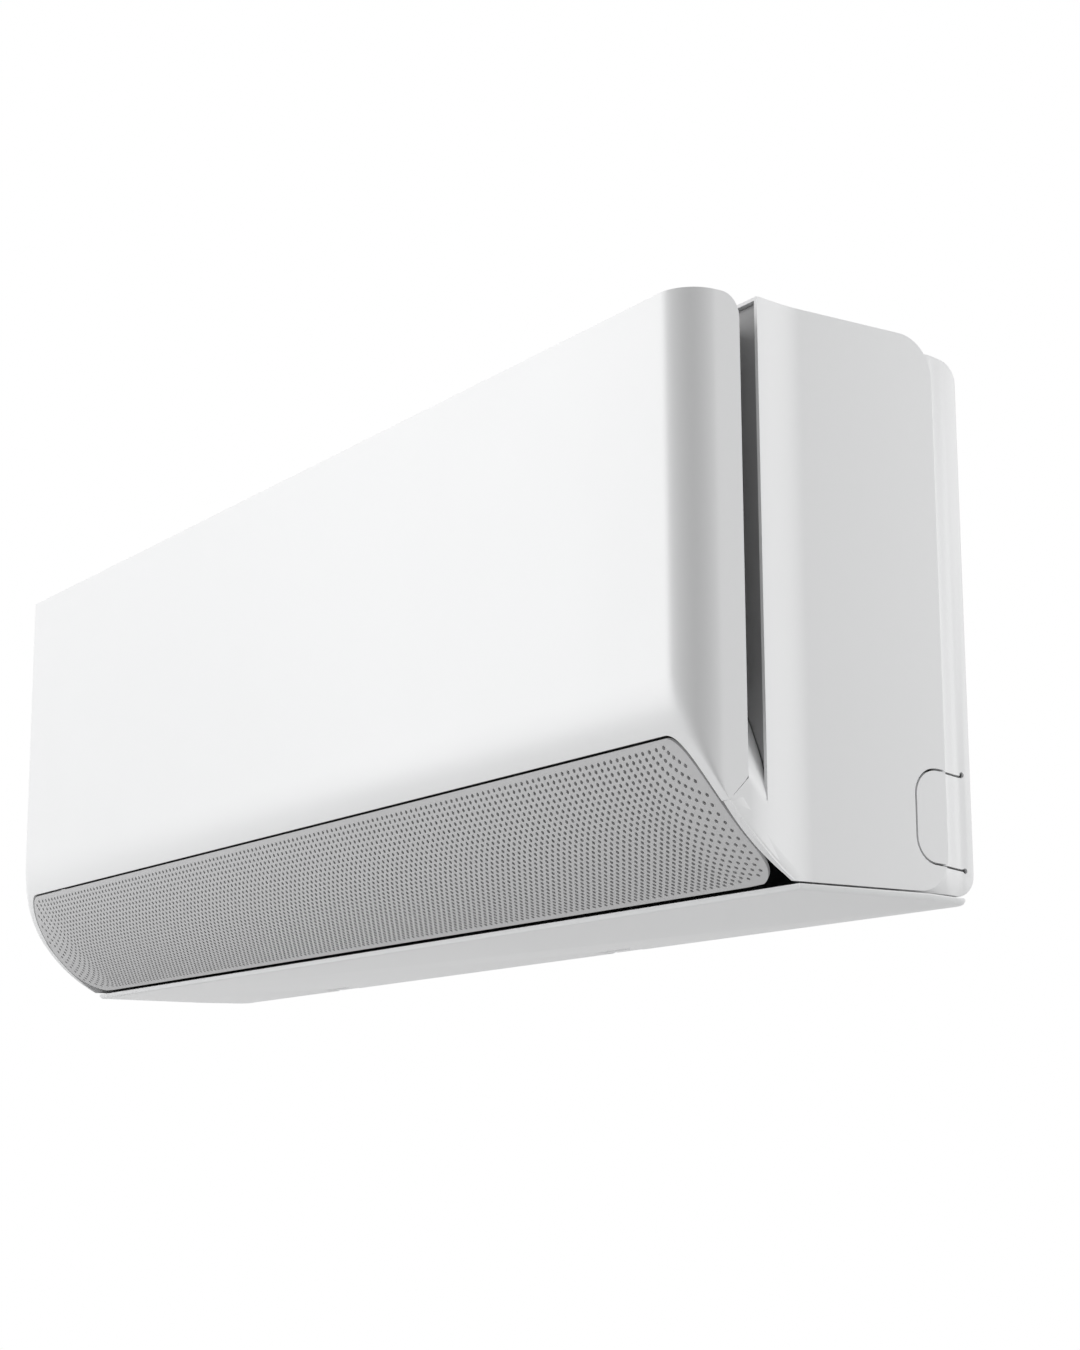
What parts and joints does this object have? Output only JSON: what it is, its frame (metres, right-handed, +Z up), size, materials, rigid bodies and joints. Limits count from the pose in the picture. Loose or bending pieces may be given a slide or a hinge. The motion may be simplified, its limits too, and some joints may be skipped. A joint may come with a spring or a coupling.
{
  "type": "wall air conditioner indoor unit",
  "caption": "Wall-hung indoor unit of a split air conditioner with a lifting front panel, a perforated tilting vane, swing blades, pull-up filters and a cross-flow fan.",
  "frame": {"origin": "middle of the back face of the wall mounting plate", "axes": "+X to the right seen from the front, the front faces -Y, +Z up; the wall is the plane y = 0"},
  "size_m": [0.94, 0.21, 0.3322],
  "materials": {
    "white_plastic": "satin moulded white, very light sheen",
    "vane_plastic": "satin white with fine round perforation",
    "inner_plastic": "plain moulded off-white",
    "duct_plastic": "matt charcoal grey",
    "grey_plastic": "matt mid grey",
    "dark_plastic": "matt near black",
    "filter_net": "fine woven net on a moulded frame",
    "fin_aluminium": "thin upright fins",
    "zinc_steel": "zinc-plated sheet",
    "copper": "drawn copper",
    "brass": "machined brass",
    "rubber": "matt black rubber",
    "foam": "closed-cell foam sleeve",
    "circuit_board": "green solder mask with pale parts"
  },
  "bodies": {
    "case": {"side_cover_right": "white_plastic", "side_cover_left": "white_plastic", "bottom_cover": "white_plastic", "release_clip_1": "white_plastic", "release_clip_2": "white_plastic", "outlet_frame": "duct_plastic", "front_frame": "inner_plastic", "top_grille": "inner_plastic", "rear_chassis": "inner_plastic", "motor_clamp": "inner_plastic", "bearing_holder": "inner_plastic", "drain_pan": "inner_plastic", "electrical_box": "inner_plastic", "electrical_box_lid": "inner_plastic", "slot_liner_right": "grey_plastic", "slot_liner_left": "grey_plastic", "terminal_block": "dark_plastic", "evaporator_front_lower": "fin_aluminium", "evaporator_front_upper": "fin_aluminium", "evaporator_rear": "fin_aluminium", "mounting_plate": "zinc_steel", "evaporator_end_left": "zinc_steel", "evaporator_end_right": "zinc_steel", "fan_motor": "zinc_steel", "vane_motor": "zinc_steel", "louver_motor": "zinc_steel", "swing_motor": "zinc_steel", "case_screw_1": "zinc_steel", "case_screw_2": "zinc_steel", "case_screw_3": "zinc_steel", "gas_pipe": "copper", "liquid_pipe": "copper", "coil_sensor": "copper", "gas_flare_nut": "brass", "liquid_flare_nut": "brass", "fan_bearing": "rubber", "drain_plug": "rubber", "pipe_insulation": "foam", "control_board": "circuit_board", "display_board": "circuit_board"},
    "front_panel": {"front_panel": "white_plastic"},
    "vane": {"perforated_vane": "vane_plastic"},
    "inner_louver": {"inner_louver": "duct_plastic"},
    "fan": {"cross_flow_fan": "dark_plastic", "motor_shaft": "zinc_steel"},
    "filter_left": {"filter_left": "filter_net"},
    "filter_right": {"filter_right": "filter_net"},
    "button": {"manual_button": "grey_plastic"},
    "swing_blade_left_1": {"swing_blade_left_1": "duct_plastic"},
    "swing_blade_left_2": {"swing_blade_left_2": "duct_plastic"},
    "swing_blade_left_3": {"swing_blade_left_3": "duct_plastic"},
    "swing_blade_left_4": {"swing_blade_left_4": "duct_plastic"},
    "swing_blade_left_5": {"swing_blade_left_5": "duct_plastic"},
    "link_bar_left": {"link_bar_left": "dark_plastic"},
    "swing_blade_right_1": {"swing_blade_right_1": "duct_plastic"},
    "swing_blade_right_2": {"swing_blade_right_2": "duct_plastic"},
    "swing_blade_right_3": {"swing_blade_right_3": "duct_plastic"},
    "swing_blade_right_4": {"swing_blade_right_4": "duct_plastic"},
    "swing_blade_right_5": {"swing_blade_right_5": "duct_plastic"},
    "link_bar_right": {"link_bar_right": "dark_plastic"}
  },
  "joints": [
    {"name": "vane_tilt", "type": "hinge", "parent": "case", "child": "vane", "pos_m": [0, -0.136, -0.145], "axis": [1, 0, 0], "range_deg": [0, 65]},
    {"name": "louver_tilt", "type": "hinge", "parent": "case", "child": "inner_louver", "pos_m": [0, -0.15, -0.117], "axis": [1, 0, 0], "range_deg": [-40, 45]},
    {"name": "panel_lift", "type": "hinge", "parent": "case", "child": "front_panel", "pos_m": [0, -0.174, 0.137], "axis": [-1, 0, 0], "range_deg": [0, 55]},
    {"name": "fan_spin", "type": "hinge", "parent": "case", "child": "fan", "pos_m": [0, -0.072, -0.045], "axis": [1, 0, 0], "continuous": true},
    {"name": "filter_left_pull", "type": "slide", "parent": "case", "child": "filter_left", "axis": [0, 0, 1], "range_m": [0, 0.19]},
    {"name": "filter_right_pull", "type": "slide", "parent": "case", "child": "filter_right", "axis": [0, 0, 1], "range_m": [0, 0.19]},
    {"name": "button_press", "type": "slide", "parent": "case", "child": "button", "axis": [0, 1, 0], "range_m": [0, 0.002], "stiffness_N_per_m": 300},
    {"name": "swing_left", "type": "hinge", "parent": "case", "child": "swing_blade_left_1", "pos_m": [-0.388, -0.094, -0.1271], "axis": [0, -0.651, 0.759], "range_deg": [-30, 30]},
    {"name": "swing_left_2", "type": "hinge", "parent": "case", "child": "swing_blade_left_2", "pos_m": [-0.322, -0.094, -0.1271], "axis": [0, -0.651, 0.759], "range_deg": [-30, 30]},
    {"name": "swing_left_3", "type": "hinge", "parent": "case", "child": "swing_blade_left_3", "pos_m": [-0.256, -0.094, -0.1271], "axis": [0, -0.651, 0.759], "range_deg": [-30, 30]},
    {"name": "swing_left_4", "type": "hinge", "parent": "case", "child": "swing_blade_left_4", "pos_m": [-0.19, -0.094, -0.1271], "axis": [0, -0.651, 0.759], "range_deg": [-30, 30]},
    {"name": "swing_left_5", "type": "hinge", "parent": "case", "child": "swing_blade_left_5", "pos_m": [-0.124, -0.094, -0.1271], "axis": [0, -0.651, 0.759], "range_deg": [-30, 30]},
    {"name": "link_left", "type": "hinge", "parent": "swing_blade_left_1", "child": "link_bar_left", "pos_m": [-0.388, -0.08186, -0.11668], "axis": [0, -0.651, 0.759], "range_deg": [-30, 30]},
    {"name": "swing_right", "type": "hinge", "parent": "case", "child": "swing_blade_right_1", "pos_m": [-0.026, -0.094, -0.1271], "axis": [0, -0.651, 0.759], "range_deg": [-30, 30]},
    {"name": "swing_right_2", "type": "hinge", "parent": "case", "child": "swing_blade_right_2", "pos_m": [0.04, -0.094, -0.1271], "axis": [0, -0.651, 0.759], "range_deg": [-30, 30]},
    {"name": "swing_right_3", "type": "hinge", "parent": "case", "child": "swing_blade_right_3", "pos_m": [0.106, -0.094, -0.1271], "axis": [0, -0.651, 0.759], "range_deg": [-30, 30]},
    {"name": "swing_right_4", "type": "hinge", "parent": "case", "child": "swing_blade_right_4", "pos_m": [0.172, -0.094, -0.1271], "axis": [0, -0.651, 0.759], "range_deg": [-30, 30]},
    {"name": "swing_right_5", "type": "hinge", "parent": "case", "child": "swing_blade_right_5", "pos_m": [0.238, -0.094, -0.1271], "axis": [0, -0.651, 0.759], "range_deg": [-30, 30]},
    {"name": "link_right", "type": "hinge", "parent": "swing_blade_right_1", "child": "link_bar_right", "pos_m": [-0.026, -0.08186, -0.11668], "axis": [0, -0.651, 0.759], "range_deg": [-30, 30]}
  ],
  "couplings": [
    {"joint": "swing_left_2", "follows": "swing_left", "ratio": 1},
    {"joint": "swing_left_3", "follows": "swing_left", "ratio": 1},
    {"joint": "swing_left_4", "follows": "swing_left", "ratio": 1},
    {"joint": "swing_left_5", "follows": "swing_left", "ratio": 1},
    {"joint": "link_left", "follows": "swing_left", "ratio": -1},
    {"joint": "swing_right_2", "follows": "swing_right", "ratio": 1},
    {"joint": "swing_right_3", "follows": "swing_right", "ratio": 1},
    {"joint": "swing_right_4", "follows": "swing_right", "ratio": 1},
    {"joint": "swing_right_5", "follows": "swing_right", "ratio": 1},
    {"joint": "link_right", "follows": "swing_right", "ratio": -1}
  ]
}
